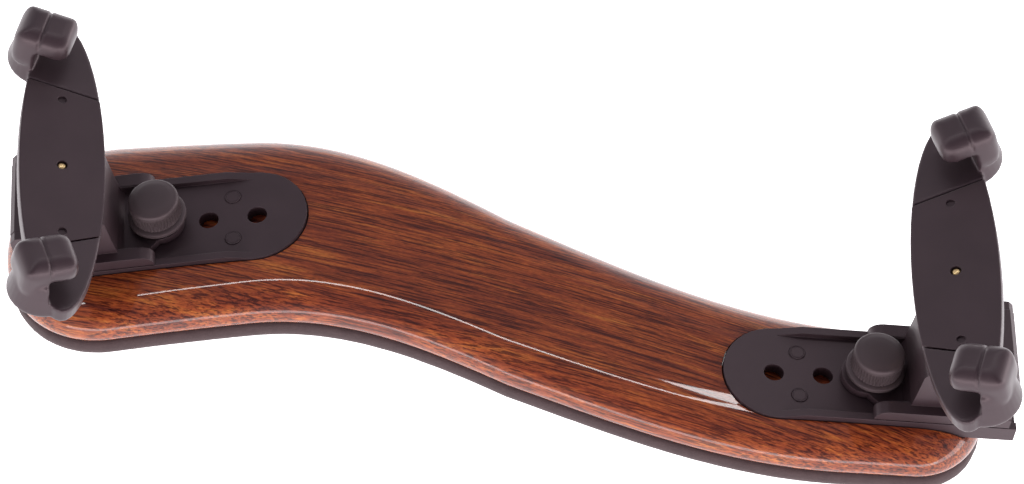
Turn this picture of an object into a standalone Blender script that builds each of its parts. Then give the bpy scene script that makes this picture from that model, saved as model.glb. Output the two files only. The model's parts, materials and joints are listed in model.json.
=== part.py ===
"""A violin shoulder rest: an arched wooden bridge on a foam pad, with a height-adjustable fork at each end.

Lengths are in metres. Each end unit has a frame of its own: +X runs outward along its end plate, +Z is the
plate's normal, and the origin is where the clamp screw's axis meets the plate's top face. Each fork has a
frame too: +Z is the stem's axis and the origin is the centre of the fork plate's top face.
"""

import math

import bmesh
import bpy
from mathutils import Matrix, Vector

GAP = 0.0003  # clearance between pieces that touch
ORIGIN_SHIFT = Vector((0.00149, -0.00178, 0.0))  # brings the bounding box's centre to the origin

# Bridge, in plan: a centre line that sweeps from back left to front right, and a width that tapers
BRIDGE_LEFT = -0.1213
BRIDGE_RIGHT = 0.1107
LEFT_CAP = 0.0265  # length of each rounded end
RIGHT_CAP = 0.0170
MID_HALF_WIDTH = 0.0236
TAPER = 0.046
SWEEP = {-1: 0.0232, 1: 0.0245}
SWEEP_MIDDLE = 0.0016
CROSSING_X = -0.001
SWEEP_RUN = {-1: 0.061, 1: 0.079}
OUTLINE_POINTS = 96

# Bridge, in height: a wide arch, clipped flat where the foam rests on a table
ARCH_RADIUS = 0.560
ARCH_RISE = 0.0107
ARCH_X = -0.0054
FOAM_THICKNESS = 0.0045
WOOD_THICKNESS = 0.0090
LOWER_EDGE = 0.0025
SHOULDER_WIDTH = 0.0100
SHOULDER_HEIGHT = 0.0060
CROWN = 0.0003
LAST_INSET = 0.0150

# End units
UNIT_X = {"left": -0.0839, "right": 0.0845}
UNIT_Y = {"left": 0.0241, "right": -0.0204}
UNIT_SLOPE = {"left": math.radians(8.1), "right": math.radians(8.5)}
UNIT_YAW = math.radians(1.5)
PLATE_PROUD = 0.0001
PLATE_THICKNESS = 0.0030
PLATE_HALF_WIDTH = 0.0130
PLATE_INNER = -0.0354
PLATE_OUTER = 0.0335
RAIL_WIDTH = 0.0020
RAIL_HEIGHT = 0.0014
RAIL_START = -0.0222
RAIL_RAMP = 0.0060
HOLE_PITCH = 0.0117
HOLE_RADIUS = 0.0024
PIN_X = -1.5 * HOLE_PITCH
PIN_Y = 0.00625
PIN_HEAD_RADIUS = 0.0017
PIN_HEAD_DEPTH = 0.0009
PIN_PROUD = 0.0002
PIN_SHANK_RADIUS = 0.0009
PIN_LENGTH = 0.0070

# Bracket, in the unit's frame at the left unit's rest position
SLIDE = {"left": 0.0, "right": -0.0016}
BRACKET_NOSE_RADIUS = 0.0060
BRACKET_OUTER = 0.0332
BASE_TOP = 0.0022
SKIRT_START = 0.0010
SKIRT_TOP = 0.0046
TOWER_HALF_WIDTH = 0.0104
TOWER_TOP = 0.0168
END_WALL = 0.0050  # the full-width wall at the bracket's outer end
SLOT_FROM = -0.0022
SLOT_TO = 0.0018

# Clamp knob, along the screw's axis
WASHER_RADIUS = 0.0060
WASHER_THICKNESS = 0.0008
WASHER_LOW = BASE_TOP + GAP
KNOB_LOW = WASHER_LOW + WASHER_THICKNESS + GAP
KNOB_TOP = 0.0112
KNOB_RADIUS = 0.0061
FLANGE_RADIUS = 0.0070
FLANGE_TOP = KNOB_LOW + 0.0014
SCREW_RADIUS = 0.0020
SCREW_LOW = -0.0026
SCREW_TOP = 0.0080

# Fork and stem
STEM_LEAN = math.radians(19)
FORK_LOW = Vector((0.0186, 0.0, 0.0268))
FORK_LIFT = {"left": 0.0, "right": 0.0173}
FORK_TURN = {"left": math.radians(0.9), "right": math.radians(-0.3)}
STEM_BOTTOM = {"left": -0.0225, "right": -0.0340}
STEM_RADIUS = 0.0030
TIP_RADIUS = 0.0010
TIP_TOP = -0.0003
TIP_BASE = -0.0015
BUSH_RADIUS = 0.0044
BUSH_TOP = -0.0084
BUSH_BOTTOM = -0.0195
BORE_BOTTOM = -0.0243
FORK_THICKNESS = 0.0042
FORK_HALF_WIDTH = 0.01035
FORK_HALF_LENGTH = 0.0435
BOSS_RADIUS = 0.0060
BOSS_HEIGHT = 0.0020
MARK_Y = 0.0198
MARK_RADIUS = 0.0011
MARK_DEPTH = 0.0006

# Claws, in a frame turned about the fork's axis: P is across the claw and Q along the instrument's edge
CLAW_TURN = math.radians(17)
SEAM_Q = 0.0223
CLAW_P = (0.0075, 0.0215)
CLAW_Q = (0.0240, 0.0372)
CLAW_DRAFT = 0.0018  # how far the inner end leans out at the top
CLAW_HEIGHT = 0.0106
CLAW_ROUND = 0.0030
CLAW_MIDDLE = (0.0145, 0.0318)  # P and Q of the round foot under the claw
FOOT_RADIUS = 0.0084
FOOT_TOP_RADIUS = 0.0066
FOOT_TOP = 0.0050  # the foot narrows up to here and merges into the claw
GROOVE_HEIGHT = 0.0053
GROOVE_P = 0.0152
SKIN = 0.0009  # rubber over the fork's thin end
POST_P = (0.0172, 0.0198)
POST_Q = (0.0275, 0.0350)
HOOK_P = 0.0096
HOOK_Z = (0.0072, 0.0090)

WIDE = 0.1  # reaches past any piece, for cutters


def clear_scene():
    for obj in list(bpy.data.objects):
        bpy.data.objects.remove(obj)
    for collection in list(bpy.data.collections):
        bpy.data.collections.remove(collection)


def make_collection(name):
    collection = bpy.data.collections.new(name)
    bpy.context.scene.collection.children.link(collection)
    return collection


def make_material(name, color, roughness, metallic=0.0):
    material = bpy.data.materials.new(name)
    material.use_nodes = True
    shader = material.node_tree.nodes["Principled BSDF"]
    shader.inputs["Base Color"].default_value = (*color, 1.0)
    shader.inputs["Roughness"].default_value = roughness
    shader.inputs["Metallic"].default_value = metallic
    return material


def make_empty(name, matrix, parent=None):
    """A frame for a group of pieces. An empty isn't a piece."""
    empty = bpy.data.objects.new(name, None)
    PARTS.objects.link(empty)
    empty.parent = parent
    empty.matrix_basis = matrix
    return empty


def make_object(name, mesh_maker, parent, is_tool=False):
    """An object in its parent's frame, its mesh built with the outside facing out."""
    mesh = bpy.data.meshes.new(name)
    if isinstance(mesh_maker, bmesh.types.BMesh):
        bmesh.ops.recalc_face_normals(mesh_maker, faces=mesh_maker.faces)
        mesh_maker.to_mesh(mesh)
        mesh_maker.free()
    obj = bpy.data.objects.new(name, mesh)
    obj.parent = parent
    (TOOLS if is_tool else PARTS).objects.link(obj)
    if is_tool:
        obj.hide_render = True
        obj.display_type = "WIRE"
    return obj


def combine(target, shape, operation, matrix=None):
    """Cuts the shape from the target or joins it on, with a Boolean modifier."""
    tool = make_object(f"{target.name}_tool_{len(target.modifiers)}", shape, target.parent, is_tool=True)
    tool.matrix_basis = matrix if matrix is not None else target.matrix_basis
    modifier = target.modifiers.new(tool.name, "BOOLEAN")
    modifier.operation = operation
    modifier.solver = "EXACT"
    modifier.object = tool
    return tool


def cut(target, shape, matrix=None):
    return combine(target, shape, "DIFFERENCE", matrix)


def join(target, shape, matrix=None):
    return combine(target, shape, "UNION", matrix)


def round_edges(obj, width, segments=2, angle=40):
    bevel = obj.modifiers.new("rounded_edges", "BEVEL")
    bevel.width = width
    bevel.segments = segments
    bevel.limit_method = "ANGLE"
    bevel.angle_limit = math.radians(angle)


def finish(obj, material, smooth=True):
    obj.data.materials.append(material)
    if smooth:
        obj.data.shade_smooth()
        obj.data.set_sharp_from_angle(angle=math.radians(35))


def box(low, high):
    shape = bmesh.new()
    bmesh.ops.create_cube(shape, size=1.0)
    size = [top - bottom for bottom, top in zip(low, high)]
    middle = [(top + bottom) / 2 for bottom, top in zip(low, high)]
    bmesh.ops.scale(shape, vec=size, verts=shape.verts)
    bmesh.ops.translate(shape, vec=middle, verts=shape.verts)
    return shape


def cylinder(radius, low, high, x=0.0, y=0.0, segments=24, top_radius=None):
    shape = bmesh.new()
    top = radius if top_radius is None else top_radius
    depth = high - low
    bmesh.ops.create_cone(shape, cap_ends=True, segments=segments, radius1=radius, radius2=top, depth=depth)
    bmesh.ops.translate(shape, vec=(x, y, (low + high) / 2), verts=shape.verts)
    return shape


def prism(outline, low, high, along="Z"):
    """A closed outline raised from low to high. Along Y, the outline is given as X and Z."""
    shape = bmesh.new()
    if along == "Z":
        corners = [shape.verts.new((a, b, low)) for a, b in outline]
        rise = (0, 0, high - low)
    else:
        corners = [shape.verts.new((a, low, b)) for a, b in outline]
        rise = (0, high - low, 0)
    face = shape.faces.new(corners)
    raised = bmesh.ops.extrude_face_region(shape, geom=[face])
    moved = [item for item in raised["geom"] if isinstance(item, bmesh.types.BMVert)]
    bmesh.ops.translate(shape, vec=rise, verts=moved)
    return shape


def turned(name, profile, parent, steps=28):
    """A solid of revolution about Z. The profile is radius and height, down its outer side."""
    shape = bmesh.new()
    points = [shape.verts.new((radius, 0, height)) for radius, height in profile]
    for first, second in zip(points, points[1:]):
        shape.edges.new((first, second))
    obj = make_object(name, shape, parent)
    screw = obj.modifiers.new("turned", "SCREW")
    screw.steps = steps
    screw.render_steps = steps
    screw.use_merge_vertices = True
    screw.merge_threshold = 0.00001
    screw.use_smooth_shade = True
    return obj


def ring(name, inner, outer, low, high, parent):
    """A washer or bush, turned from a closed profile."""
    profile = [(inner, high), (outer, high), (outer, low), (inner, low), (inner, high)]
    return turned(name, profile, parent)


def half_ellipse_cap(distance, length):
    """How much of the full width is left at this distance from a rounded end."""
    if distance >= length:
        return 1.0
    return math.sqrt(max(0.0, 1.0 - (1.0 - distance / length) ** 2))


def centre_line(x):
    side = -1 if x < CROSSING_X else 1
    turn = min(abs(x - CROSSING_X) / SWEEP_RUN[side], 1.0) * math.pi / 2
    return SWEEP_MIDDLE - side * SWEEP[side] * math.sin(turn)


def half_width(x, inset):
    full = MID_HALF_WIDTH - TAPER * x - inset
    left = half_ellipse_cap(x - BRIDGE_LEFT - inset, LEFT_CAP - inset)
    right = half_ellipse_cap(BRIDGE_RIGHT - inset - x, RIGHT_CAP - inset)
    return full * left * right


def arch(x):
    """Height of the foam's lower face."""
    return ARCH_RISE - (x - ARCH_X) ** 2 / (2 * ARCH_RADIUS)


def outline_ring(shape, inset, height):
    """The bridge's outline, moved inward by the inset and raised this far above the arch."""
    low, high = BRIDGE_LEFT + inset, BRIDGE_RIGHT - inset
    ring_points = []
    for step in range(OUTLINE_POINTS):
        angle = 2 * math.pi * step / OUTLINE_POINTS
        x = (low + high) / 2 + (high - low) / 2 * math.cos(angle)
        side = 0 if step in (0, OUTLINE_POINTS // 2) else math.copysign(1, math.sin(angle))
        y = centre_line(x) + side * half_width(x, inset)
        ring_points.append(shape.verts.new((x, y, arch(x) + height)))
    return ring_points


def close_ring(shape, points):
    """Fills a ring with a ladder of faces from one side to the other."""
    count = len(points)
    for step in range(count // 2):
        corners = [points[step], points[step + 1], points[count - step - 1], points[-step]]
        shape.faces.new(list(dict.fromkeys(corners)))


def stacked_rings(levels):
    """A solid through the bridge's outline at each (inset, height), from its lower face to its upper face."""
    shape = bmesh.new()
    rings = [outline_ring(shape, inset, height) for inset, height in levels]
    for lower, upper in zip(rings, rings[1:]):
        for step in range(OUTLINE_POINTS):
            after = (step + 1) % OUTLINE_POINTS
            shape.faces.new((lower[step], lower[after], upper[after], upper[step]))
    close_ring(shape, rings[0])
    close_ring(shape, rings[-1])
    return shape


def wood_levels():
    base = FOAM_THICKNESS + GAP
    levels = [(LAST_INSET, base), (0.008, base)]
    for degrees in (90, 45, 0):
        turn = math.radians(degrees)
        levels.append((LOWER_EDGE * (1 - math.cos(turn)), base + LOWER_EDGE * (1 - math.sin(turn))))
    side = WOOD_THICKNESS - SHOULDER_HEIGHT
    for degrees in (0, 22, 45, 68, 90):
        turn = math.radians(degrees)
        levels.append((SHOULDER_WIDTH * (1 - math.cos(turn)), base + side + SHOULDER_HEIGHT * math.sin(turn)))
    levels.append((LAST_INSET, base + WOOD_THICKNESS + CROWN))
    return levels


def foam_levels():
    edge = 0.0012
    inset = 0.0006
    return [
        (LAST_INSET, 0.0),
        (0.006, 0.0),
        (inset + edge, 0.0),
        (inset, edge),
        (inset, FOAM_THICKNESS - edge),
        (inset + edge, FOAM_THICKNESS),
        (0.006, FOAM_THICKNESS),
        (LAST_INSET, FOAM_THICKNESS),
    ]


def plate_outline(grow=0.0):
    """The end plate: round at its inner end and square at its outer end."""
    radius = PLATE_HALF_WIDTH + grow
    centre = PLATE_INNER + PLATE_HALF_WIDTH
    steps = 20
    points = []
    for step in range(steps + 1):
        angle = math.pi / 2 + math.pi * step / steps
        points.append((centre + radius * math.cos(angle), radius * math.sin(angle)))
    return points + [(PLATE_OUTER + grow, -radius), (PLATE_OUTER + grow, radius)]


def unit_matrix(side):
    """A unit's frame, which follows the arch and stands a little proud of the wood."""
    x = UNIT_X[side]
    height = arch(x) + FOAM_THICKNESS + GAP + WOOD_THICKNESS + PLATE_PROUD
    facing = Matrix.Rotation(UNIT_YAW + (math.pi if side == "left" else 0.0), 4, "Z")
    return Matrix.Translation((x, UNIT_Y[side], height)) @ facing @ Matrix.Rotation(UNIT_SLOPE[side], 4, "Y")


def fork_matrix(lift=0.0, turn=0.0):
    """A fork's frame in its bracket's frame, raised along the stem and turned about it."""
    lean = Matrix.Rotation(-STEM_LEAN, 4, "Y")
    start = FORK_LOW + lean @ Vector((0, 0, lift))
    return Matrix.Translation(start) @ lean @ Matrix.Rotation(turn, 4, "Z")


def make_bridge(frame, units):
    wood = make_object("bridge_body", stacked_rings(wood_levels()), frame)
    for unit in units.values():
        pocket = prism(plate_outline(GAP), -PLATE_THICKNESS - GAP, 0.02)
        cut(wood, pocket, unit.matrix_basis)
        for y in (-PIN_Y, PIN_Y):
            hole = cylinder(PIN_SHANK_RADIUS + GAP, -PIN_LENGTH - GAP, 0.0, PIN_X, y, segments=12)
            cut(wood, hole, unit.matrix_basis)
    finish(wood, make_material("lacquered_wood", (0.30, 0.10, 0.035), 0.15))
    foam = make_object("foam_pad", stacked_rings(foam_levels()), frame)
    cut(foam, box((-2 * WIDE, -WIDE, -0.02), (2 * WIDE, WIDE, 0.0)))
    finish(foam, make_material("dark_foam", (0.03, 0.02, 0.018), 0.95))


def rail_profile():
    """A side rail's side view: it ramps up out of the plate and then runs level to the outer end."""
    sunk = 0.001
    return [
        (RAIL_START, -sunk),
        (PLATE_OUTER, -sunk),
        (PLATE_OUTER, RAIL_HEIGHT),
        (RAIL_START + RAIL_RAMP, RAIL_HEIGHT),
        (RAIL_START, 0.0),
    ]


def make_end_plate(side, unit):
    plate = make_object(f"{side}_end_plate", prism(plate_outline(), -PLATE_THICKNESS, 0.0), unit)
    for sign in (-1, 1):
        edges = sorted((sign * (PLATE_HALF_WIDTH - RAIL_WIDTH), sign * PLATE_HALF_WIDTH))
        join(plate, prism(rail_profile(), edges[0], edges[1], along="Y"))
    for number in range(3):
        cut(plate, cylinder(HOLE_RADIUS, -0.005, 0.002, -number * HOLE_PITCH))
    for y in (-PIN_Y, PIN_Y):
        cut(plate, cylinder(PIN_HEAD_RADIUS + GAP, PIN_PROUD - PIN_HEAD_DEPTH - GAP, 0.002, PIN_X, y))
        cut(plate, cylinder(PIN_SHANK_RADIUS + GAP, -0.005, 0.002, PIN_X, y, segments=12))
    finish(plate, make_material(f"{side}_plate_plastic", (0.045, 0.038, 0.045), 0.45))


def make_plate_pins(side, unit):
    """Two headed pins that hold an end plate down on the wood."""
    places = {"back": PIN_Y, "front": -PIN_Y}
    for place, y in places.items():
        turned_y = -y if side == "left" else y
        frame = make_empty(f"{side}_pin_frame_{place}", Matrix.Translation((PIN_X, turned_y, 0)), unit)
        head_base = PIN_PROUD - PIN_HEAD_DEPTH
        profile = [
            (0, PIN_PROUD),
            (PIN_HEAD_RADIUS, PIN_PROUD),
            (PIN_HEAD_RADIUS, head_base),
            (PIN_SHANK_RADIUS, head_base),
            (PIN_SHANK_RADIUS, -PIN_LENGTH),
            (0, -PIN_LENGTH),
        ]
        pin = turned(f"{side}_plate_pin_{place}", profile, frame, steps=16)
        finish(pin, make_material(f"{side}_pin_plastic_{place}", (0.05, 0.042, 0.05), 0.4), smooth=False)


def bracket_base_outline():
    """A plate with a round nose under the knob, which lies in the end plate's channel."""
    half = PLATE_HALF_WIDTH - RAIL_WIDTH - GAP
    steps = 16
    points = []
    for step in range(steps + 1):
        angle = math.pi / 2 + math.pi * step / steps
        points.append((BRACKET_NOSE_RADIUS * math.cos(angle), BRACKET_NOSE_RADIUS * math.sin(angle)))
    widen = 0.0045
    return points + [(widen, -half), (BRACKET_OUTER, -half), (BRACKET_OUTER, half), (widen, half)]


def tower_profile():
    """The tower's side view: a steep inner wall with a concave foot, and a bevelled top."""
    return [
        (0.0080, GAP),
        (BRACKET_OUTER, GAP),
        (BRACKET_OUTER, TOWER_TOP - 0.0012),
        (BRACKET_OUTER - 0.0012, TOWER_TOP),
        (0.0120, TOWER_TOP),
        (0.0106, TOWER_TOP - 0.0014),
        (0.0100, 0.0090),
        (0.0097, 0.0066),
        (0.0095, 0.0049),
        (0.0091, 0.0036),
        (0.0086, 0.0027),
        (0.0080, BASE_TOP - 0.0004),
    ]


def end_wall_profile():
    """The outer wall's side view, a hair inside the tower's faces and standing clear of the rails."""
    hair = 0.0001
    top = TOWER_TOP - hair
    outer = BRACKET_OUTER - hair
    bevel = 0.0012
    low = RAIL_HEIGHT + GAP + hair
    inner = outer - END_WALL
    return [(inner, low), (outer, low), (outer, top - bevel), (outer - bevel, top), (inner, top)]


def slot_outline(radius):
    points = []
    steps = 12
    for centre, start in ((SLOT_TO, -math.pi / 2), (SLOT_FROM, math.pi / 2)):
        for step in range(steps + 1):
            angle = start + math.pi * step / steps
            points.append((centre + radius * math.cos(angle), radius * math.sin(angle)))
    return points


def skirt_profile():
    """A skirt's side view, with a curved step at its inner end."""
    low = RAIL_HEIGHT + GAP
    rise = SKIRT_TOP - low
    points = [(BRACKET_OUTER, low), (BRACKET_OUTER, SKIRT_TOP)]
    steps = 6
    for step in range(steps + 1):
        angle = math.pi / 2 * (1 - step / steps)
        run = rise * 1.2
        points.append((SKIRT_START + run * (1 - math.cos(angle)), low + rise * math.sin(angle)))
    return points


def make_bracket(side, unit):
    inner = PLATE_HALF_WIDTH - RAIL_WIDTH - GAP
    bracket = make_object(f"{side}_bracket", prism(bracket_base_outline(), GAP, BASE_TOP), unit)
    bracket.matrix_basis = Matrix.Translation((SLIDE[side], 0, 0))
    for sign in (-1, 1):
        wall = sorted((sign * (inner - 0.0015), sign * inner))
        wall_box = box((0.005, wall[0], GAP + 0.0002), (BRACKET_OUTER, wall[1], SKIRT_TOP - 0.0002))
        join(bracket, wall_box)
        skirt = sorted((sign * (inner - 0.0012), sign * PLATE_HALF_WIDTH))
        join(bracket, prism(skirt_profile(), skirt[0], skirt[1], along="Y"))
    join(bracket, prism(tower_profile(), -TOWER_HALF_WIDTH, TOWER_HALF_WIDTH, along="Y"))
    join(bracket, prism(end_wall_profile(), 0.0001 - PLATE_HALF_WIDTH, PLATE_HALF_WIDTH - 0.0001, along="Y"))
    cut(bracket, prism(slot_outline(HOLE_RADIUS), -0.001, BASE_TOP + 0.001))
    axis = bracket.matrix_basis @ fork_matrix()
    cut(bracket, cylinder(BUSH_RADIUS + GAP, BUSH_BOTTOM - GAP, 0.0), axis)
    cut(bracket, cylinder(STEM_RADIUS + GAP, BORE_BOTTOM, 0.0), axis)
    finish(bracket, make_material(f"{side}_bracket_plastic", (0.045, 0.038, 0.045), 0.4))


def make_clamp(side, unit):
    washer = ring(
        f"{side}_clamp_washer", HOLE_RADIUS, WASHER_RADIUS, WASHER_LOW, WASHER_LOW + WASHER_THICKNESS, unit
    )
    finish(washer, make_material(f"{side}_washer_steel", (0.45, 0.45, 0.46), 0.35, 1.0), smooth=False)
    hole = SCREW_RADIUS + GAP
    profile = [
        (0, KNOB_TOP),
        (0.0030, KNOB_TOP - 0.0001),
        (0.0050, KNOB_TOP - 0.0005),
        (KNOB_RADIUS - 0.0003, KNOB_TOP - 0.0011),
        (KNOB_RADIUS, KNOB_TOP - 0.0020),
        (KNOB_RADIUS, FLANGE_TOP + 0.0002),
        (FLANGE_RADIUS, FLANGE_TOP),
        (FLANGE_RADIUS, KNOB_LOW),
        (hole, KNOB_LOW),
        (hole, SCREW_TOP + GAP),
        (0, SCREW_TOP + GAP),
    ]
    knob = turned(f"{side}_clamp_knob", profile, unit, steps=32)
    finish(knob, make_material(f"{side}_knob_plastic", (0.055, 0.055, 0.06), 0.6), smooth=False)
    screw = make_object(f"{side}_clamp_screw", cylinder(SCREW_RADIUS, SCREW_LOW, SCREW_TOP), unit)
    finish(screw, make_material(f"{side}_screw_steel", (0.55, 0.55, 0.56), 0.3, 1.0))


def make_bush(side, bracket_frame):
    bush = ring(f"{side}_stem_bush", STEM_RADIUS + GAP, BUSH_RADIUS, BUSH_BOTTOM, BUSH_TOP, bracket_frame)
    finish(bush, make_material(f"{side}_bush_brass", (0.75, 0.55, 0.25), 0.3, 1.0), smooth=False)


def make_stem(side, fork):
    bottom = STEM_BOTTOM[side]
    edge = 0.0004
    profile = [
        (0, TIP_TOP),
        (TIP_RADIUS, TIP_TOP),
        (TIP_RADIUS, TIP_BASE),
        (STEM_RADIUS, TIP_BASE),
        (STEM_RADIUS, bottom + edge),
        (STEM_RADIUS - edge, bottom),
        (0, bottom),
    ]
    stem = turned(f"{side}_stem", profile, fork)
    finish(stem, make_material(f"{side}_stem_brass", (0.72, 0.55, 0.28), 0.3, 1.0), smooth=False)


def ellipse_outline(inset=0.0, steps=52):
    points = []
    for step in range(steps):
        angle = 2 * math.pi * step / steps
        x = (FORK_HALF_WIDTH - inset) * math.cos(angle)
        points.append((x, (FORK_HALF_LENGTH - inset) * math.sin(angle)))
    return points


def claw_box(p, q, z, end):
    """A box given in a claw's P and Q, at the fork's +Y end (1) or -Y end (-1)."""
    along = sorted((end * q[0], end * q[1]))
    shape = box((p[0], along[0], z[0]), (p[1], along[1], z[1]))
    bmesh.ops.rotate(shape, matrix=Matrix.Rotation(end * CLAW_TURN, 3, "Z"), verts=shape.verts)
    return shape


def claw_foot(radius, low, high, end, top_radius=None):
    """A disc or tapered drum under the claw, centred on it."""
    p, q = CLAW_MIDDLE
    shape = cylinder(radius, low, high, p, end * q, segments=32, top_radius=top_radius)
    bmesh.ops.rotate(shape, matrix=Matrix.Rotation(end * CLAW_TURN, 3, "Z"), verts=shape.verts)
    return shape


def claw_block(end):
    """The claw before its groove is cut. Its inner end has draft, so it is narrower at the top."""
    shape = claw_box(CLAW_P, CLAW_Q, (-0.0005, CLAW_HEIGHT), end)
    along = Matrix.Rotation(end * CLAW_TURN, 3, "Z") @ Vector((0, end, 0))
    inner_top = []
    for vert in shape.verts:
        if vert.co.z > 0 and vert.co.dot(along) < sum(CLAW_Q) / 2:
            inner_top.append(vert)
    bmesh.ops.translate(shape, vec=along * CLAW_DRAFT, verts=inner_top)
    return shape


def claw_core(grow, end):
    """The fork's own plastic inside a boot, as the solids that make it up, all grown by a clearance."""
    inset = SKIN + GAP - grow
    step = 0.0001
    post_p = (POST_P[0] - grow, POST_P[1] + grow)
    post_q = (POST_Q[0] - grow, POST_Q[1] + grow)
    hook_q = (post_q[0] + step, post_q[1] - step)
    hook_z = (HOOK_Z[0] - grow, HOOK_Z[1] + grow)
    disc = claw_foot(FOOT_RADIUS - inset, -FORK_THICKNESS + inset, -inset, end)
    post = claw_box(post_p, post_q, (-FORK_THICKNESS + inset + step, HOOK_Z[1] - step), end)
    hook = claw_box((HOOK_P - grow, post_p[1] - step), hook_q, hook_z, end)
    return [disc, post, hook]


def make_fork_plate(side, fork):
    plate = make_object(f"{side}_fork_plate", prism(ellipse_outline(), -FORK_THICKNESS, 0.0), fork)
    round_edges(plate, 0.0005)
    for end in (-1, 1):
        cut(plate, claw_box((-WIDE, WIDE), (SEAM_Q - GAP, WIDE), (-0.02, 0.02), end))
    inset = SKIN + GAP
    join(plate, prism(ellipse_outline(inset), -FORK_THICKNESS + inset, -inset))
    for end in (-1, 1):
        for shape in claw_core(0.0, end):
            join(plate, shape)
    join(plate, cylinder(BOSS_RADIUS, -FORK_THICKNESS - BOSS_HEIGHT, -FORK_THICKNESS + 0.001))
    cut(plate, cylinder(STEM_RADIUS + GAP, -0.02, TIP_BASE + GAP))
    cut(plate, cylinder(TIP_RADIUS + GAP, -0.003, 0.002, segments=16))
    for y in (-MARK_Y, MARK_Y):
        cut(plate, cylinder(MARK_RADIUS, -MARK_DEPTH, 0.002, 0, y, segments=16))
    finish(plate, make_material(f"{side}_fork_plastic", (0.05, 0.042, 0.05), 0.4))


def make_boot(side, fork, place, end):
    """A rubber boot: a sleeve over the fork's thin end, and a claw that hooks over the instrument's edge."""
    name = f"{side}_boot_{place}"
    boot = make_object(name, claw_block(end), fork)
    round_edges(boot, CLAW_ROUND, segments=3)
    step = 0.0001
    drum = claw_foot(FOOT_RADIUS, -FORK_THICKNESS + step, FOOT_TOP, end, FOOT_TOP_RADIUS)
    foot = join(boot, drum)
    round_edges(foot, 0.0008)
    sleeve = join(boot, prism(ellipse_outline(), -FORK_THICKNESS, 0.0))
    round_edges(sleeve, 0.0005)
    cut(boot, claw_box((-WIDE, WIDE), (-WIDE, SEAM_Q), (-0.03, 0.03), end))
    cut(boot, claw_box((-0.002, GROOVE_P), (0.0, 0.06), (0.0, GROOVE_HEIGHT), end))
    inset = SKIN
    cut(boot, prism(ellipse_outline(inset), -FORK_THICKNESS + inset, -inset))
    for shape in claw_core(GAP, end):
        cut(boot, shape)
    finish(boot, make_material(f"{side}_boot_rubber_{place}", (0.03, 0.028, 0.032), 0.5))


def make_unit(side, unit):
    make_end_plate(side, unit)
    make_plate_pins(side, unit)
    make_bracket(side, unit)
    make_clamp(side, unit)
    slide = Matrix.Translation((SLIDE[side], 0, 0))
    bush_frame = make_empty(f"{side}_stem_axis", slide @ fork_matrix(), unit)
    make_bush(side, bush_frame)
    fork_place = slide @ fork_matrix(FORK_LIFT[side], FORK_TURN[side])
    fork = make_empty(f"{side}_fork_axis", fork_place, unit)
    make_stem(side, fork)
    make_fork_plate(side, fork)
    ends = {"back": -1, "front": 1} if side == "left" else {"back": 1, "front": -1}
    for place, end in ends.items():
        make_boot(side, fork, place, end)


clear_scene()
PARTS = make_collection("violin_shoulder_rest")
TOOLS = make_collection("cutters")
FRAME = make_empty("rest_frame", Matrix.Translation(ORIGIN_SHIFT))
UNITS = {side: make_empty(f"{side}_unit", unit_matrix(side), FRAME) for side in ("left", "right")}
make_bridge(FRAME, UNITS)
for unit_side, unit_frame in UNITS.items():
    make_unit(unit_side, unit_frame)
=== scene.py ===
"""The looks of a violin shoulder rest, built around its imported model.

Lengths are in metres, in the model's own frame: +X runs along the bridge to its lower, front end, +Y to the
back and +Z up. Each end unit has a frame of its own: +X runs outward along its end plate, +Z is the plate's
normal, and the origin is where the clamp screw's axis meets the plate's top face. A fork's frame has the
stem's axis as +Z and the centre of the fork plate's top face as its origin.
"""

import json
import math

import bmesh
import bpy
import numpy as np
from mathutils import Matrix, Vector, noise


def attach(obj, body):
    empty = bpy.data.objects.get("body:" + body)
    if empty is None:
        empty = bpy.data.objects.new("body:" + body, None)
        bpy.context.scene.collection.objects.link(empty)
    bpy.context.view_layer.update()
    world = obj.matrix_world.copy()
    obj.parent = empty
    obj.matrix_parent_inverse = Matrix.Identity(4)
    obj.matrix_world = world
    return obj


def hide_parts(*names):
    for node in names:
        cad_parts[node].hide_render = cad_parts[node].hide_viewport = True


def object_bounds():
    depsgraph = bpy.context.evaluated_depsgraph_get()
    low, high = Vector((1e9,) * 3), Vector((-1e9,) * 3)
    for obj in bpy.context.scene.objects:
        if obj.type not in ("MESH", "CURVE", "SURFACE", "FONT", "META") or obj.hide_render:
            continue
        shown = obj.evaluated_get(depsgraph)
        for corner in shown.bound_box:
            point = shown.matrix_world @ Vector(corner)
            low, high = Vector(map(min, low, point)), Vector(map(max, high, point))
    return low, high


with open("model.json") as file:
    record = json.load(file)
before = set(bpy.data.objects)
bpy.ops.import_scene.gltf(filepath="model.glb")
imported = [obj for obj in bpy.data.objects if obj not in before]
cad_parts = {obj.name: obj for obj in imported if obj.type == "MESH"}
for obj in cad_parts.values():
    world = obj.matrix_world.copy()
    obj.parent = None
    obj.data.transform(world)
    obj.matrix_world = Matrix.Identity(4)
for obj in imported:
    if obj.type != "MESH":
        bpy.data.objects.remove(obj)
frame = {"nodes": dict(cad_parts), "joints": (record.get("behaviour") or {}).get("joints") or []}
CAD_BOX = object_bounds()
JOINTS = {joint["name"]: joint for joint in frame["joints"]}
SIDES = ("left", "right")
GAP = 0.0003

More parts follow.
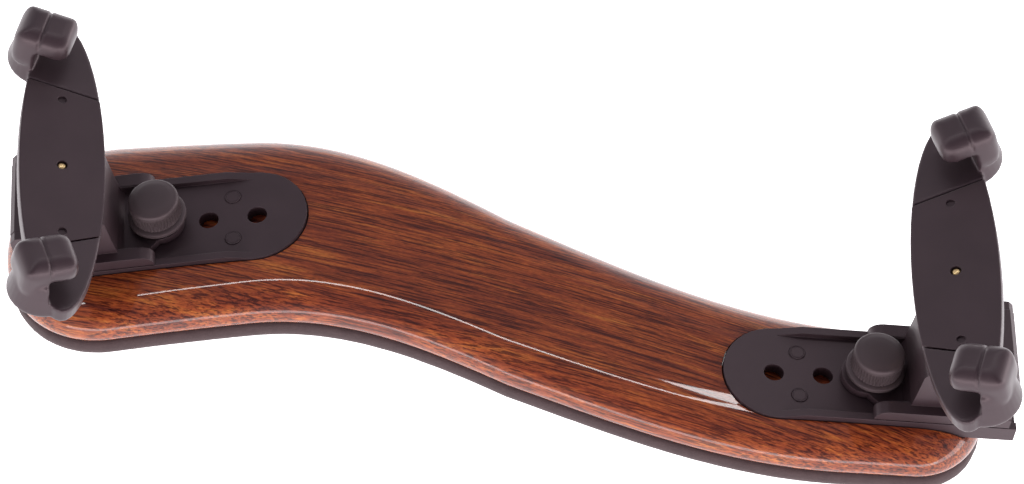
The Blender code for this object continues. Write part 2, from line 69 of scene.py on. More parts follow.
# Bridge, in plan and in height. Its own X and Y start at the frame's origin, moved by BRIDGE_ORIGIN
BRIDGE_LEFT = -0.1213
BRIDGE_RIGHT = 0.1107
LEFT_CAP = 0.0265
RIGHT_CAP = 0.0170
MID_HALF_WIDTH = 0.0236
TAPER = 0.046
SWEEP = {-1: 0.0232, 1: 0.0245}
SWEEP_MIDDLE = 0.0016
CROSSING_X = -0.001
SWEEP_RUN = {-1: 0.061, 1: 0.079}
ARCH_RADIUS = 0.560
ARCH_RISE = 0.0107
ARCH_X = -0.0054
FOAM_THICKNESS = 0.0045
WOOD_THICKNESS = 0.0090
LOWER_EDGE = 0.0025
SHOULDER_WIDTH = 0.0100
SHOULDER_HEIGHT = 0.0060
CROWN = 0.0003
LAST_INSET = 0.0150
OUTLINE_POINTS = 360
FOAM_EDGE = 0.0013
FOAM_INSET = 0.0006
FOAM_BULGE = 0.0002
FOAM_ROUGHNESS = 0.00009
GRAIN_TURN = math.radians(-18)  # the straight grain's direction, from +X
LEFT_UNIT_AT = Vector((-0.0839, 0.0241, 0.0))  # the left clamp screw, on the bridge's own X and Y

# End plate
PLATE_THICKNESS = 0.0030
PLATE_HALF_WIDTH = 0.0130
PLATE_INNER = -0.0354
PLATE_OUTER = 0.0335
POCKET_TOP = 0.02  # clear of the wood above the plate
PIN_SHANK_RADIUS = 0.0009
PIN_LENGTH = 0.0070
PIN_X = -0.01755
PIN_Y = 0.00625
PIN_HEAD = 0.0019
MOULDED_EDGE = 0.00025

# Clamp and stem
KNOB_LOW = 0.0036
KNOB_TOP = 0.0112
KNOB_RADIUS = 0.0061
FLANGE_RADIUS = 0.0070
FLANGE_TOP = KNOB_LOW + 0.0014
KNOB_RIDGES = 46
KNOB_RIDGE_DEPTH = 0.00045
KNOB_EDGE = 0.0009
BAND_TOP = FLANGE_TOP + 0.0034
WASHER_BORE = 0.0024
WASHER_RADIUS = 0.0060
WASHER_LOW = 0.0025
WASHER_HIGH = 0.0033
WASHER_CHAMFER = 0.00015
SCREW_RADIUS = 0.0020
SCREW_LOW = -0.0026
SCREW_TOP = 0.0080
SCREW_PITCH = 0.0008
SCREW_THREAD = 0.0003
STEM_RADIUS = 0.0030
STEM_PITCH = 0.0010
STEM_THREAD = 0.0004
STEM_STEPS = 56
STEM_BOTTOM = {"left": -0.0225, "right": -0.0340}
TIP_RADIUS = 0.0010
TIP_TOP = -0.0003
TIP_BASE = -0.0015
BOSS_BOTTOM = -0.0062

# Claws, in a fork's frame turned about its axis
FORK_TURN = {"left": math.radians(0.9), "right": math.radians(-0.3)}
CLAW_TURN = math.radians(17)
CLAW_HEIGHT = 0.0106
CLAW_P = (0.0075, 0.0215)
CLAW_Q = (0.0240, 0.0372)
OUTER_ROUND = 0.0045
INNER_ROUND = 0.0032
END_ROUND = 0.0040
VOXEL = 0.00030
RAISED_FROM = 0.12 * CLAW_HEIGHT  # above this a boot is softened more
ALL_ROUNDS = 3
RAISED_ROUNDS = 16
CREASE_P = 0.0149
CREASE_WIDTH = 0.00034
CREASE_DEPTH = 0.00045
CREASE_FROM = 0.62 * CLAW_HEIGHT
CREASE_FADE = 0.2 * CLAW_HEIGHT

# Stage
FLOOR_DROP = 0.0002
FLOOR_GLOW = 1.5
WORLD_STRENGTH = 2.9
CAMERA_DISTANCE = 1.6
CAMERA_ELEVATION = math.radians(52)
CAMERA_TARGET = Vector((0.0, 0.0184, 0.020))  # from the bridge's own origin


def joint_axis(name):
    return Vector(JOINTS[name]["axis"]).normalized()


def frame_matrix(origin, along, up):
    """A frame with +Z up and +X as near to along as it can be."""
    up = up.normalized()
    x = (along - along.dot(up) * up).normalized()
    y = up.cross(x)
    rotation = Matrix((x, y, up)).transposed()
    return Matrix.Translation(Vector(origin)) @ rotation.to_4x4()


def unit_matrix(side):
    spin = JOINTS[f"{side}_knob_spin"]
    return frame_matrix(spin["pos_m"], joint_axis(f"{side}_width_slide"), joint_axis(spin["name"]))


def fork_matrix(side):
    turn = JOINTS[f"{side}_fork_turn"]
    straight = frame_matrix(turn["pos_m"], joint_axis(f"{side}_width_slide"), joint_axis(turn["name"]))
    return straight @ Matrix.Rotation(FORK_TURN[side], 4, "Z")


UNITS = {side: unit_matrix(side) for side in SIDES}
FORKS = {side: fork_matrix(side) for side in SIDES}
BRIDGE_ORIGIN = Vector(JOINTS["left_knob_spin"]["pos_m"]) - LEFT_UNIT_AT
BRIDGE_ORIGIN.z = 0.0


# ---------------------------------------------------------------- materials


def add_node(material, kind, inputs=None, **properties):
    """A shader node. An input may be a value or another node's output."""
    made = material.node_tree.nodes.new(kind)
    for name, value in properties.items():
        setattr(made, name, value)
    for name, value in (inputs or {}).items():
        if isinstance(value, bpy.types.NodeSocket):
            material.node_tree.links.new(value, made.inputs[name])
        else:
            made.inputs[name].default_value = value
    return made


def new_material(name, inputs):
    material = bpy.data.materials.new(name)
    material.use_nodes = True
    shader = material.node_tree.nodes["Principled BSDF"]
    for key, value in inputs.items():
        shader.inputs[key].default_value = value
    return material, shader


def connect(material, output, shader, key):
    material.node_tree.links.new(output, shader.inputs[key])


def ramp(material, fac, stops):
    """A colour ramp. Each stop is a position and a colour."""
    made = add_node(material, "ShaderNodeValToRGB", {"Fac": fac})
    elements = made.color_ramp.elements
    while len(elements) < len(stops):
        elements.new(0.5)
    for element, (position, color) in zip(elements, stops):
        element.position = position
        element.color = (*color, 1.0)
    return made.outputs["Color"]


def object_point(material):
    return add_node(material, "ShaderNodeTexCoord").outputs["Object"]


def noise_at(material, point, scale, detail=4.0, roughness=0.55, distortion=0.0):
    values = {"Vector": point, "Scale": scale, "Detail": detail}
    values |= {"Roughness": roughness, "Distortion": distortion}
    return add_node(material, "ShaderNodeTexNoise", values).outputs["Fac"]


def blend_values(material, first, second, share):
    values = {"Factor": share, "A": first, "B": second}
    return add_node(material, "ShaderNodeMix", values, data_type="FLOAT").outputs["Result"]


def multiplied(material, first, second):
    """Two colours multiplied together."""
    made = add_node(material, "ShaderNodeMix", data_type="RGBA", blend_type="MULTIPLY")
    inputs = {socket.identifier: socket for socket in made.inputs}
    inputs["Factor_Float"].default_value = 1.0
    material.node_tree.links.new(first, inputs["A_Color"])
    material.node_tree.links.new(second, inputs["B_Color"])
    return {socket.identifier: socket for socket in made.outputs}["Result_Color"]


def bump(material, height, distance, strength=1.0, normal=None):
    values = {"Height": height, "Distance": distance, "Strength": strength}
    if normal is not None:
        values["Normal"] = normal
    return add_node(material, "ShaderNodeBump", values).outputs["Normal"]


def remap(material, value, low, high):
    values = {"Value": value, "To Min": low, "To Max": high}
    return add_node(material, "ShaderNodeMapRange", values).outputs["Result"]


def wood_material():
    """Streaked reddish-brown wood under clear lacquer. The grain follows the mesh's own grain attribute."""
    lacquer = {"Coat Weight": 1.0, "Coat Roughness": 0.03, "Coat IOR": 1.46}
    finish = {"Roughness": 0.45, "Specular IOR Level": 0.05, **lacquer}
    material, shader = new_material("lacquered_wood_look", finish)
    point = add_node(material, "ShaderNodeAttribute", attribute_name="grain").outputs["Vector"]

    def streaks(length, width, detail, distortion, offset):
        """Noise drawn out along the grain, in streaks of about this length and width."""
        stretch = (1.0, length / width, length / width)
        placing = {"Vector": point, "Scale": stretch, "Location": (offset, offset, 0)}
        placed = add_node(material, "ShaderNodeMapping", placing).outputs["Vector"]
        return noise_at(material, placed, 1 / length, detail, 0.62, distortion)

    bands = streaks(0.050, 0.0050, 3.0, 0.5, 0.0)
    figure = streaks(0.018, 0.00095, 5.0, 0.35, 0.31)
    pores = streaks(0.0130, 0.00042, 3.0, 0.08, 0.77)
    flecks = streaks(0.0016, 0.00030, 2.0, 0.0, 0.53)
    tone = blend_values(material, bands, figure, 0.55)
    color = ramp(
        material,
        tone,
        [
            (0.34, (0.082, 0.0150, 0.0085)),
            (0.45, (0.195, 0.0370, 0.0120)),
            (0.54, (0.290, 0.0640, 0.0160)),
            (0.66, (0.430, 0.1350, 0.0260)),
        ],
    )
    lines = ramp(material, pores, [(0.42, (0.30, 0.24, 0.32)), (0.51, (1.0, 1.0, 1.0))])
    specks = ramp(material, flecks, [(0.32, (0.66, 0.64, 0.66)), (0.62, (1.16, 1.16, 1.12))])
    color = multiplied(material, multiplied(material, color, lines), specks)
    connect(material, color, shader, "Base Color")
    connect(material, bump(material, tone, 0.00004, 0.5), shader, "Normal")
    ripple = noise_at(material, object_point(material), 45.0, 2.0)
    connect(material, bump(material, ripple, 0.00006, 0.35), shader, "Coat Normal")
    return material


def shade(color, share):
    """The colour made darker, or lighter with a share above one."""
    return tuple(share * channel for channel in color)


def plastic_material(name, color, roughness, texture=0.00002, edge=0.00025, coat=0.0):
    """Moulded plastic or rubber: a fine spark-eroded texture, uneven sheen and slightly softened edges."""
    sheen = {"Specular IOR Level": 0.45, "Specular Tint": (1.0, 0.82, 0.88, 1.0)}
    material, shader = new_material(name, {"Coat Weight": coat, "Coat Roughness": 0.25, **sheen})
    point = object_point(material)
    patches = noise_at(material, point, 90.0, 3.0)
    grain = noise_at(material, point, 4200.0, 2.0)
    tint = ramp(material, patches, [(0.3, shade(color, 0.86)), (0.7, shade(color, 1.12))])
    connect(material, tint, shader, "Base Color")
    connect(material, remap(material, patches, roughness - 0.05, roughness + 0.06), shader, "Roughness")
    rounded = add_node(material, "ShaderNodeBevel", {"Radius": edge}, samples=4).outputs["Normal"]
    connect(material, bump(material, grain, texture, 0.6, rounded), shader, "Normal")
    return material


def metal_material(name, color, roughness):
    """Turned metal with fine scratches and dull patches."""
    material, shader = new_material(name, {"Metallic": 1.0})
    point = object_point(material)
    patches = noise_at(material, point, 160.0, 4.0)
    scratches = noise_at(material, point, 2600.0, 3.0)
    tint = ramp(material, patches, [(0.3, shade(color, 0.78)), (0.7, color)])
    connect(material, tint, shader, "Base Color")
    connect(material, remap(material, patches, roughness - 0.06, roughness + 0.12), shader, "Roughness")
    connect(material, bump(material, scratches, 0.00001, 0.4), shader, "Normal")
    return material


def foam_material():
    """Dark closed-cell foam with fine open pores."""
    finish = {"Roughness": 0.93, "Specular IOR Level": 0.15, "Sheen Weight": 0.15}
    material, shader = new_material("foam_look", finish)
    point = object_point(material)
    values = {"Vector": point, "Scale": 2600.0, "Randomness": 1.0}
    cells = add_node(material, "ShaderNodeTexVoronoi", values).outputs["Distance"]
    clumps = noise_at(material, point, 350.0, 4.0)
    mixed = blend_values(material, cells, clumps, 0.6)
    color = ramp(material, mixed, [(0.15, (0.036, 0.0230, 0.0245)), (0.65, (0.058, 0.0380, 0.0395))])
    connect(material, color, shader, "Base Color")
    connect(material, bump(material, mixed, 0.00010, 0.6), shader, "Normal")
    return material


# ---------------------------------------------------------------- mesh helpers


def make_piece(name, mesh, material, body, nodes, place=None):
    """A shown piece that rides on a body and stands for CAD nodes."""
    obj = bpy.data.objects.new(name, mesh)
    bpy.context.scene.collection.objects.link(obj)
    if place is not None:
        mesh.transform(place)
    mesh.materials.clear()
    mesh.materials.append(material)
    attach(obj, body)
    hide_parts(*nodes)
    return obj


def to_mesh(name, shape):
    bmesh.ops.recalc_face_normals(shape, faces=shape.faces)
    mesh = bpy.data.meshes.new(name)
    shape.to_mesh(mesh)
    shape.free()
    return mesh


def smooth(mesh, degrees=35):
    mesh.shade_smooth()
    mesh.set_sharp_from_angle(angle=math.radians(degrees))
    return mesh


def evaluated(mesh, modifiers):
    """The mesh after modifiers. Each is a type and its settings."""
    obj = bpy.data.objects.new("work", mesh)
    bpy.context.scene.collection.objects.link(obj)
    for kind, settings in modifiers:
        modifier = obj.modifiers.new(kind, kind)
        for key, value in settings.items():
            setattr(modifier, key, value)
    graph = bpy.context.evaluated_depsgraph_get()
    result = bpy.data.meshes.new_from_object(obj.evaluated_get(graph))
    bpy.data.objects.remove(obj)
    return result


def cut_away(mesh, shape, place=None):
    """The mesh without the shape."""
    tool = bpy.data.objects.new("tool", to_mesh("tool", shape))
    bpy.context.scene.collection.objects.link(tool)
    if place is not None:
        tool.data.transform(place)
    settings = {"operation": "DIFFERENCE", "solver": "EXACT", "object": tool}
    result = evaluated(mesh, [("BOOLEAN", settings)])
    bpy.data.objects.remove(tool)
    return result


def prism(outline, low, high):
    """An upright solid with this outline."""
    shape = bmesh.new()
    face = shape.faces.new([shape.verts.new((x, y, low)) for x, y in outline])
    raised = bmesh.ops.extrude_face_region(shape, geom=[face])
    moved = [item for item in raised["geom"] if isinstance(item, bmesh.types.BMVert)]
    bmesh.ops.translate(shape, vec=(0, 0, high - low), verts=moved)
    return shape


def circle(radius, x=0.0, y=0.0, steps=32):
    turns = [2 * math.pi * step / steps for step in range(steps)]
    return [(x + radius * math.cos(turn), y + radius * math.sin(turn)) for turn in turns]


def revolve(profile, steps=96, ripple=0):
    """A solid turned about Z. A profile point is radius, height and how deep its ridges are cut."""
    shape = bmesh.new()
    rings = []
    for point in profile:
        radius, height = point[:2]
        depth = point[2] if len(point) > 2 else 0.0
        if radius == 0:
            rings.append([shape.verts.new((0, 0, height))])
            continue
        ring = []
        for step in range(steps):
            angle = 2 * math.pi * step / steps
            r = radius - depth * (0.5 - 0.5 * math.cos(ripple * angle)) if depth else radius
            ring.append(shape.verts.new((r * math.cos(angle), r * math.sin(angle), height)))
        rings.append(ring)
    closed = len(rings[0]) > 1
    pairs = list(zip(rings, rings[1:])) + ([(rings[-1], rings[0])] if closed else [])
    for upper, lower in pairs:
        for step in range(steps):
            after = (step + 1) % steps
            corners = [upper[step % len(upper)], upper[after % len(upper)]]
            corners += [lower[after % len(lower)], lower[step % len(lower)]]
            shape.faces.new(list(dict.fromkeys(corners)))
    return shape


def threaded_rod(radius, low, high, pitch, depth, steps=40):
    """A right-hand threaded rod with chamfered ends."""
    rows = max(8, round((high - low) / pitch * 8))
    shape = bmesh.new()
    rings = []
    for row in range(rows + 1):
        z = low + (high - low) * row / rows
        fade = min(1.0, (z - low) / pitch, (high - z) / pitch)
        ring = []
        for step in range(steps):
            turn = step / steps
            angle = 2 * math.pi * turn
            phase = (z / pitch - turn) % 1.0
            groove = 1 - abs(2 * phase - 1)
            r = radius - depth * (groove if fade >= 1 else 1 - fade + fade * groove)
            ring.append(shape.verts.new((r * math.cos(angle), r * math.sin(angle), z)))
        rings.append(ring)
    for lower, upper in zip(rings, rings[1:]):
        for step in range(steps):
            after = (step + 1) % steps
            shape.faces.new((lower[step], lower[after], upper[after], upper[step]))
    shape.faces.new(rings[0])
    shape.faces.new(rings[-1])
    return shape


def node_copy(node):
    """A CAD node's mesh with its doubled corners welded and its flat faces whole again."""
    shape = bmesh.new()
    shape.from_mesh(frame["nodes"][node].data)
    bmesh.ops.remove_doubles(shape, verts=shape.verts, dist=1e-6)
    flat = math.radians(0.6)
    bmesh.ops.dissolve_limit(shape, angle_limit=flat, verts=shape.verts, edges=shape.edges)
    return to_mesh(node, shape)


# ---------------------------------------------------------------- bridge and foam


def cap_share(distance, length):
    """How much of the full width is left at this distance from a rounded end."""
    near = np.clip(distance / length, 0.0, 1.0)
    return np.sqrt(np.clip(1.0 - (1.0 - near) ** 2, 0.0, 1.0))


def centre_line(x):
    """The bridge's middle in plan: a half wave with its own swing and run on each side."""
    side = np.where(x < CROSSING_X, -1, 1)
    run = np.where(side < 0, SWEEP_RUN[-1], SWEEP_RUN[1])
    sweep = np.where(side < 0, SWEEP[-1], SWEEP[1])
    turn = np.clip(np.abs(x - CROSSING_X) / run, 0, 1) * math.pi / 2
    return SWEEP_MIDDLE - side * sweep * np.sin(turn)


def arch(x):
    """The height of the foam's lower face."""
    return ARCH_RISE - (x - ARCH_X) ** 2 / (2 * ARCH_RADIUS)


def bridge_ring(inset, height):
    """The bridge's outline, moved inward by the inset and raised this far above the arch."""
    low, high = BRIDGE_LEFT + inset, BRIDGE_RIGHT - inset
    angle = 2 * math.pi * np.arange(OUTLINE_POINTS) / OUTLINE_POINTS
    x = (low + high) / 2 + (high - low) / 2 * np.cos(angle)
    side = np.sign(np.round(np.sin(angle), 9))
    width = MID_HALF_WIDTH - TAPER * x - inset
    left = cap_share(x - BRIDGE_LEFT - inset, LEFT_CAP - inset)
    right = cap_share(BRIDGE_RIGHT - inset - x, RIGHT_CAP - inset)
    y = centre_line(x) + side * width * left * right
    return np.stack([x, y, arch(x) + height], axis=1)


def bridge_solid(levels):
    """A solid through the outline at each (inset, height), closed with a ladder of faces at both ends."""
    shape = bmesh.new()
    rings = [[shape.verts.new(point) for point in bridge_ring(*level)] for level in levels]
    for lower, upper in zip(rings, rings[1:]):
        for step in range(OUTLINE_POINTS):
            after = (step + 1) % OUTLINE_POINTS
            shape.faces.new((lower[step], lower[after], upper[after], upper[step]))
    for ring in (rings[0], rings[-1]):
        for step in range(OUTLINE_POINTS // 2):
            corners = [ring[step], ring[step + 1], ring[OUTLINE_POINTS - step - 1], ring[-step]]
            shape.faces.new(list(dict.fromkeys(corners)))
    return shape


def quarter(steps):
    return [math.pi / 2 * step / steps for step in range(steps + 1)]


def wood_levels():
    """The wood's section as (inset, height), from its lower face, round its edge and onto its top."""
    base = FOAM_THICKNESS + GAP
    levels = [(LAST_INSET, base), (0.008, base), (0.004, base)]
    for turn in reversed(quarter(5)):
        levels.append((LOWER_EDGE * (1 - math.cos(turn)), base + LOWER_EDGE * (1 - math.sin(turn))))
    side = WOOD_THICKNESS - SHOULDER_HEIGHT
    for turn in quarter(14):
        height = base + side + SHOULDER_HEIGHT * math.sin(turn)
        levels.append((SHOULDER_WIDTH * (1 - math.cos(turn)), height))
    for inset, share in ((0.0115, 0.4), (0.0132, 0.8), (LAST_INSET, 1.0)):
        levels.append((inset, base + WOOD_THICKNESS + CROWN * share))
    return levels


def foam_levels():
    """The foam's section as (inset, height), from its lower face round its edge to its upper face."""
    middle = FOAM_THICKNESS / 2
    rounded = []
    for turn in reversed(quarter(4)):
        inset = FOAM_INSET + FOAM_EDGE * (1 - math.cos(turn))
        rounded.append((inset, FOAM_EDGE * (1 - math.sin(turn))))
    upper = [(inner, FOAM_THICKNESS - height) for inner, height in reversed(rounded)]
    flats = [(LAST_INSET, 0.0), (0.009, 0.0), (0.005, 0.0)]
    tops = [(inner, FOAM_THICKNESS) for inner, height in reversed(flats)]
    return flats + rounded + [(FOAM_INSET - FOAM_BULGE, middle)] + upper + tops


def add_grain(mesh):
    """Stores, at each point, how far it is along and across the straight grain."""
    points = np.zeros(len(mesh.vertices) * 3)
    mesh.vertices.foreach_get("co", points)
    points = points.reshape(-1, 3) - np.array(BRIDGE_ORIGIN)
    turn = GRAIN_TURN
    along = points[:, 0] * math.cos(turn) + points[:, 1] * math.sin(turn)
    across = points[:, 1] * math.cos(turn) - points[:, 0] * math.sin(turn)
    grain = np.stack([along, across, points[:, 2] - arch(points[:, 0])], axis=1)
    attribute = mesh.attributes.new("grain", "FLOAT_VECTOR", "POINT")
    attribute.data.foreach_set("vector", grain.astype(np.float32).ravel())


def plate_outline(grow):
    """An end plate seen from above, in its unit's frame, grown by this much."""
    radius = PLATE_HALF_WIDTH + grow
    centre = PLATE_INNER + PLATE_HALF_WIDTH
    steps = 40
    turns = [math.pi / 2 + math.pi * step / steps for step in range(steps + 1)]
    points = [(centre + radius * math.cos(turn), radius * math.sin(turn)) for turn in turns]
    return points + [(PLATE_OUTER + grow, -radius), (PLATE_OUTER + grow, radius)]


def build_bridge(material):
    mesh = to_mesh("bridge", bridge_solid(wood_levels()))
    mesh.transform(Matrix.Translation(BRIDGE_ORIGIN))
    for side in SIDES:
        pocket = prism(plate_outline(GAP), -PLATE_THICKNESS - GAP, POCKET_TOP)
        mesh = cut_away(mesh, pocket, UNITS[side])
        for y in (-PIN_Y, PIN_Y):
            hole = prism(circle(PIN_SHANK_RADIUS + GAP, PIN_X, y), -PIN_LENGTH - GAP, 0.0)
            mesh = cut_away(mesh, hole, UNITS[side])
    smooth(mesh, 30)
    add_grain(mesh)
    return make_piece("bridge", mesh, material, "bridge", ["bridge_body"])


def build_foam(material):
    shape = bridge_solid(foam_levels())
    for vert in shape.verts:
        sway = noise.noise(vert.co * 900) * FOAM_ROUGHNESS
        vert.co.z = max(vert.co.z + sway, 0.0)
        vert.co.x += noise.noise(vert.co * 700 + Vector((3, 1, 7))) * FOAM_ROUGHNESS
    mesh = smooth(to_mesh("foam", shape), 60)
    mesh.transform(Matrix.Translation(BRIDGE_ORIGIN))
    foam = make_piece("foam", mesh, material, "bridge", ["foam_pad"])
    return foam


# ---------------------------------------------------------------- end units


def knob_profile():
    """From the middle of the top, down the outside and up the screw's hole."""
    dome = [
        (0, KNOB_TOP),
        (0.0022, KNOB_TOP - 0.00004),
        (0.0038, KNOB_TOP - 0.00018),
        (0.0048, KNOB_TOP - 0.00042),
    ]
    side_top = KNOB_TOP - 0.0006
    for turn in reversed(quarter(5)):
        radius = KNOB_RADIUS - KNOB_EDGE * (1 - math.cos(turn))
        dome.append((radius, side_top - KNOB_EDGE * (1 - math.sin(turn))))
    side = [
        (KNOB_RADIUS, BAND_TOP + 0.0005),
        (KNOB_RADIUS, BAND_TOP, KNOB_RIDGE_DEPTH),
        (KNOB_RADIUS, FLANGE_TOP + 0.0004, KNOB_RIDGE_DEPTH),
    ]
    foot = [(KNOB_RADIUS - 0.0002, FLANGE_TOP + 0.0001), (FLANGE_RADIUS - 0.0003, FLANGE_TOP)]
    flange = [
        (FLANGE_RADIUS, FLANGE_TOP - 0.0003),
        (FLANGE_RADIUS, KNOB_LOW + 0.0003),
        (FLANGE_RADIUS - 0.0003, KNOB_LOW),
    ]
    hole = SCREW_RADIUS + GAP
    inside = [
        (hole + 0.0002, KNOB_LOW),
        (hole, KNOB_LOW + 0.0002),
        (hole, SCREW_TOP + GAP),
        (0, SCREW_TOP + GAP),
    ]
    return dome + side + foot + flange + inside


def chamfered_ring(inner, outer, low, high, chamfer):
    """The profile of a flat ring with chamfered edges."""
    return [
        (inner, high - chamfer),
        (inner + chamfer, high),
        (outer - chamfer, high),
        (outer, high - chamfer),
        (outer, low + chamfer),
        (outer - chamfer, low),
        (inner + chamfer, low),
        (inner, low + chamfer),
    ]


def build_clamp(side, looks):
    place = UNITS[side]
    steps = KNOB_RIDGES * 8
    knob = smooth(to_mesh("knob", revolve(knob_profile(), steps, KNOB_RIDGES)), 40)
    nodes = [f"{side}_clamp_knob"]
    make_piece(f"{side}_knob", knob, looks["knob"], f"{side}_knob", nodes, place)
    thread = threaded_rod(SCREW_RADIUS, SCREW_LOW, SCREW_TOP, SCREW_PITCH, SCREW_THREAD)
    screw = smooth(to_mesh("screw", thread), 70)
    nodes = [f"{side}_clamp_screw"]
    make_piece(f"{side}_screw", screw, looks["steel"], f"{side}_knob", nodes, place)
    profile = chamfered_ring(WASHER_BORE, WASHER_RADIUS, WASHER_LOW, WASHER_HIGH, WASHER_CHAMFER)
    washer = smooth(to_mesh("washer", revolve(profile)), 30)
    nodes = [f"{side}_clamp_washer"]
    make_piece(f"{side}_washer", washer, looks["steel"], f"{side}_washer", nodes, place)


def pin_profile():
    """A headed pin with a fine ring round its head's edge."""
    top = 0.0002
    head_base = -0.0007
    return [
        (0, top),
        (PIN_HEAD - 0.00045, top),
        (PIN_HEAD - 0.00036, top - 0.00012),
        (PIN_HEAD - 0.00026, top - 0.00002),
        (PIN_HEAD - 0.00008, top - 0.00004),
        (PIN_HEAD, top - 0.00014),
        (PIN_HEAD, head_base),
        (PIN_SHANK_RADIUS, head_base),
        (PIN_SHANK_RADIUS, 0.0004 - PIN_LENGTH),
        (PIN_SHANK_RADIUS - 0.0003, -PIN_LENGTH),
        (0, -PIN_LENGTH),
    ]


def build_pins(side, looks):
    for place_name, y in (("back", PIN_Y), ("front", -PIN_Y)):
        turned_y = -y if side == "left" else y  # the left unit's +Y points to the front
        pin = smooth(to_mesh("pin", revolve(pin_profile(), steps=48)), 30)
        place = UNITS[side] @ Matrix.Translation((PIN_X, turned_y, 0))
        nodes = [f"{side}_plate_pin_{place_name}"]
        name = f"{side}_pin_{place_name}"
        make_piece(name, pin, looks["plastic"], "bridge", nodes, place)


def build_stem(side, looks):
    """A threaded stem with a smooth neck and the small tip that shows in the fork plate."""
    thread_top = BOSS_BOTTOM - 0.0004
    thread = threaded_rod(STEM_RADIUS, STEM_BOTTOM[side], thread_top, STEM_PITCH, STEM_THREAD, STEM_STEPS)
    neck_low = BOSS_BOTTOM - 0.0006
    neck = [
        (0, TIP_TOP),
        (TIP_RADIUS - 0.0003, TIP_TOP),
        (TIP_RADIUS, TIP_TOP - 0.0003),
        (TIP_RADIUS, TIP_BASE),
        (STEM_RADIUS - 0.0002, TIP_BASE),
        (STEM_RADIUS, TIP_BASE - 0.0002),
        (STEM_RADIUS, neck_low),
        (0, neck_low),
    ]
    thread.from_mesh(to_mesh("neck", revolve(neck, STEM_STEPS)))
    mesh = smooth(to_mesh("stem", thread), 50)
    name = f"{side}_threaded_stem"
    body = node = f"{side}_stem"
    make_piece(name, mesh, looks["brass"], body, [node], FORKS[side])


def moulded(node):
    """A CAD node's mesh with real rounded edges, its flat faces shaded flat."""
    rounding = {
        "width": MOULDED_EDGE,
        "segments": 2,
        "limit_method": "ANGLE",
        "angle_limit": math.radians(40),
        "use_clamp_overlap": True,
    }
    mesh = smooth(evaluated(node_copy(node), [("BEVEL", rounding)]), 32)
    return evaluated(mesh, [("WEIGHTED_NORMAL", {"keep_sharp": True, "weight": 100})])


def build_moulded_parts(side, looks):
    plastic = {
        f"{side}_end_plate": "bridge",
        f"{side}_bracket": f"{side}_bracket",
        f"{side}_fork_plate": f"{side}_fork",
    }
    for node, body in plastic.items():
        make_piece(f"{node}_moulding", moulded(node), looks["plastic"], body, [node])
    node = f"{side}_stem_bush"
    make_piece(f"{node}_turned", moulded(node), looks["brass"], f"{side}_bracket", [node])


def rounded_pair(across, up, limit, top, radius):
    """A point in a section, drawn in where it lies outside the rounded corner at this limit and top."""
    toward = 1 if limit > 0 else -1
    beyond = toward * across - (abs(limit) - radius)
    above = up - (top - radius)
    reach = math.hypot(beyond, above)
    if beyond <= 0 or above <= 0 or reach <= radius:
        return across, up
    shrink = radius / reach
    return toward * (abs(limit) - radius + beyond * shrink), top - radius + above * shrink


def round_claw(shape, claw, end):
    """Rounds the claw's top edges, most along its outer side."""
    back = claw.inverted()
    middle_p = sum(CLAW_P) / 2
    middle_q = end * sum(CLAW_Q) / 2
    half_p = (CLAW_P[1] - CLAW_P[0]) / 2
    half_q = (CLAW_Q[1] - CLAW_Q[0]) / 2
    for vert in shape.verts:
        p, q, z = claw @ vert.co
        p, z = rounded_pair(p - middle_p, z, half_p, CLAW_HEIGHT, OUTER_ROUND)
        p, z = rounded_pair(p, z, -half_p, CLAW_HEIGHT, INNER_ROUND)
        q, z = rounded_pair(q - middle_q, z, half_q, CLAW_HEIGHT, END_ROUND)
        q, z = rounded_pair(q, z, -half_q, CLAW_HEIGHT, END_ROUND)
        vert.co = back @ Vector((p + middle_p, q + middle_q, z))


def press_crease(shape, claw):
    """Presses the crease into the claw's top. P, Q and height are X, Y and Z in the claw's frame."""
    for vert in shape.verts:
        place = claw @ vert.co
        near = math.exp(-(((place.x - CREASE_P) / CREASE_WIDTH) ** 2))
        high = min(max((place.z - CREASE_FROM) / CREASE_FADE, 0.0), 1.0)
        vert.co -= vert.normal * CREASE_DEPTH * near * high


def build_boot(side, place_name, end, looks):
    """A rubber boot: the CAD claw, rounded, more so above the plate, with a crease in its top."""
    node = f"{side}_boot_{place_name}"
    remesh = {"mode": "VOXEL", "voxel_size": VOXEL, "use_smooth_shade": True}
    shape = bmesh.new()
    shape.from_mesh(evaluated(node_copy(node), [("REMESH", remesh)]))
    claw = (FORKS[side] @ Matrix.Rotation(end * CLAW_TURN, 4, "Z")).inverted()
    round_claw(shape, claw, end)
    raised = [vert for vert in shape.verts if (claw @ vert.co).z > RAISED_FROM]
    every_axis = {"use_axis_x": True, "use_axis_y": True, "use_axis_z": True}
    for verts, rounds in ((shape.verts, ALL_ROUNDS), (raised, RAISED_ROUNDS)):
        for _ in range(rounds):
            bmesh.ops.smooth_vert(shape, verts=verts, factor=0.5, **every_axis)
    shape.normal_update()
    press_crease(shape, claw)
    mesh = to_mesh(node, shape)
    mesh.shade_smooth()
    make_piece(f"{node}_rubber", mesh, looks["rubber"], f"{side}_fork", [node])


# ---------------------------------------------------------------- stage


def build_floor():
    shape = bmesh.new()
    bmesh.ops.create_grid(shape, x_segments=8, y_segments=8, size=6.0)
    floor = bpy.data.objects.new("floor", to_mesh("floor", shape))
    floor.location.z = CAD_BOX[0].z - FLOOR_DROP
    bpy.context.scene.collection.objects.link(floor)
    paper = {"Base Color": (0.86, 0.855, 0.86, 1.0), "Roughness": 0.9}
    material, shader = new_material("floor_paper", paper)
    shader.inputs["Emission Color"].default_value = (1.0, 0.99, 1.0, 1.0)
    shader.inputs["Emission Strength"].default_value = FLOOR_GLOW
    floor.data.materials.append(material)


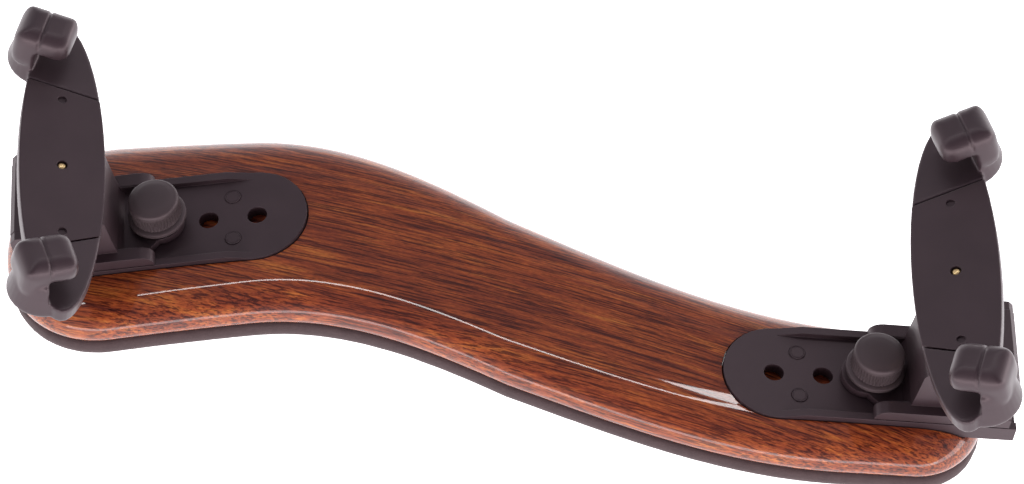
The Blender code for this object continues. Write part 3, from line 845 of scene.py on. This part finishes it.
def add_area_light(name, location, target, size, power, color=(1, 1, 1)):
    light = bpy.data.lights.new(name, "AREA")
    light.shape = "RECTANGLE"
    light.size, light.size_y = size
    light.energy = power
    light.color = color
    obj = bpy.data.objects.new(name, light)
    obj.location = location
    obj.rotation_euler = (Vector(target) - Vector(location)).to_track_quat("-Z", "Y").to_euler()
    bpy.context.scene.collection.objects.link(obj)


def build_world():
    """Soft white surroundings, brighter near the horizon than overhead."""
    world = bpy.data.worlds.new("studio")
    world.use_nodes = True
    bpy.context.scene.world = world
    nodes, links = world.node_tree.nodes, world.node_tree.links
    coordinate = nodes.new("ShaderNodeTexCoord")
    split = nodes.new("ShaderNodeSeparateXYZ")
    levels = nodes.new("ShaderNodeValToRGB")
    links.new(coordinate.outputs["Generated"], split.inputs["Vector"])
    links.new(split.outputs["Z"], levels.inputs["Fac"])
    stops = ((0.0, (1.0, 0.95, 0.96)), (0.17, (0.42, 0.40, 0.42)), (0.75, (0.115, 0.105, 0.12)))
    levels.color_ramp.elements.new(0.5)
    for element, (position, color) in zip(levels.color_ramp.elements, stops):
        element.position = position
        element.color = (*color, 1.0)
    background = nodes["Background"]
    links.new(levels.outputs["Color"], background.inputs["Color"])
    background.inputs["Strength"].default_value = WORLD_STRENGTH


def build_lights(centre):
    """A thin strip overhead, and two low strips that brighten the bridge's lower edge."""
    rosy = (1.0, 0.9, 0.9)
    overhead, front, right = Vector((-0.2, 0.50, 1.3)), Vector((0, -1.7, 0.2)), Vector((1.7, 0, 0.2))
    add_area_light("overhead_strip", centre + overhead, centre, (3.2, 0.05), 6.8)
    add_area_light("low_front_strip", centre + front, centre, (4.5, 0.4), 30.0, rosy)
    add_area_light("low_right_strip", centre + right, centre, (3.0, 0.4), 16.0, rosy)


def build_camera():
    """A long lens that looks down on the bridge from the front."""
    target = BRIDGE_ORIGIN + CAMERA_TARGET
    away = Vector((0, -math.cos(CAMERA_ELEVATION), math.sin(CAMERA_ELEVATION)))
    camera = bpy.data.cameras.new("camera")
    camera.sensor_width = 36.0
    camera.lens = 236.25
    camera.clip_end = 50.0
    obj = bpy.data.objects.new("camera", camera)
    obj.location = target + CAMERA_DISTANCE * away
    obj.rotation_euler = (math.pi / 2 - CAMERA_ELEVATION, 0, 0)
    bpy.context.scene.collection.objects.link(obj)
    bpy.context.scene.camera = obj


def build_all():
    rubber = {"texture": 0.000012, "edge": 0.0001, "coat": 0.1}
    looks = {
        "plastic": plastic_material("black_plastic_look", (0.0255, 0.0155, 0.0185), 0.42),
        "rubber": plastic_material("black_rubber_look", (0.0240, 0.0150, 0.0180), 0.40, **rubber),
        "knob": plastic_material("knob_plastic_look", (0.0370, 0.0270, 0.0290), 0.52),
        "brass": metal_material("brass_look", (0.80, 0.60, 0.30), 0.30),
        "steel": metal_material("steel_look", (0.62, 0.62, 0.63), 0.32),
    }
    build_bridge(wood_material())
    build_foam(foam_material())
    for side in SIDES:
        build_moulded_parts(side, looks)
        build_pins(side, looks)
        build_clamp(side, looks)
        build_stem(side, looks)
        ends = {"back": -1, "front": 1} if side == "left" else {"back": 1, "front": -1}
        for place_name, end in ends.items():
            build_boot(side, place_name, end, looks)
    build_floor()
    build_world()
    build_lights((CAD_BOX[0] + CAD_BOX[1]) / 2)
    build_camera()
    bpy.context.scene.view_settings.view_transform = "Standard"


build_all()
